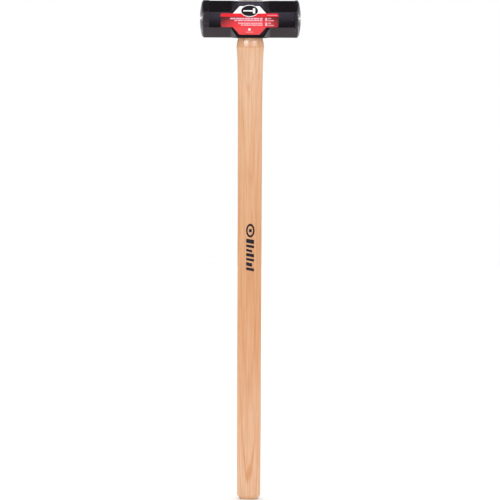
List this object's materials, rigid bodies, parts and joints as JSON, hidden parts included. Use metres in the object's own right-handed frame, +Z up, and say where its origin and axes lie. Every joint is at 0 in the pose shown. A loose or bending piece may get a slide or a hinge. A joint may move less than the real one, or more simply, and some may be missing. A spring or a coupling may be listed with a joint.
{
  "type": "sledge hammer",
  "caption": "Double-faced octagonal sledge hammer on a straight oval wooden handle, held by a wooden wedge and crosswise steel wedges.",
  "frame": {"origin": "middle of the handle's butt end face", "axes": "+Z up the handle to the head, X along the head's striking axis, -Y out of the cheek that carries the label"},
  "size_m": [0.1626, 0.0606, 0.8128],
  "materials": {
    "black_enamel": "gloss",
    "hickory": "satin",
    "wedge_wood": "matte",
    "wedge_steel": "satin",
    "label_film": "gloss"
  },
  "bodies": {
    "root": {"head": "black_enamel", "handle": "hickory", "wood_wedge": "wedge_wood", "steel_wedge_left": "wedge_steel", "steel_wedge_right": "wedge_steel", "front_label": "label_film"}
  },
  "joints": []
}
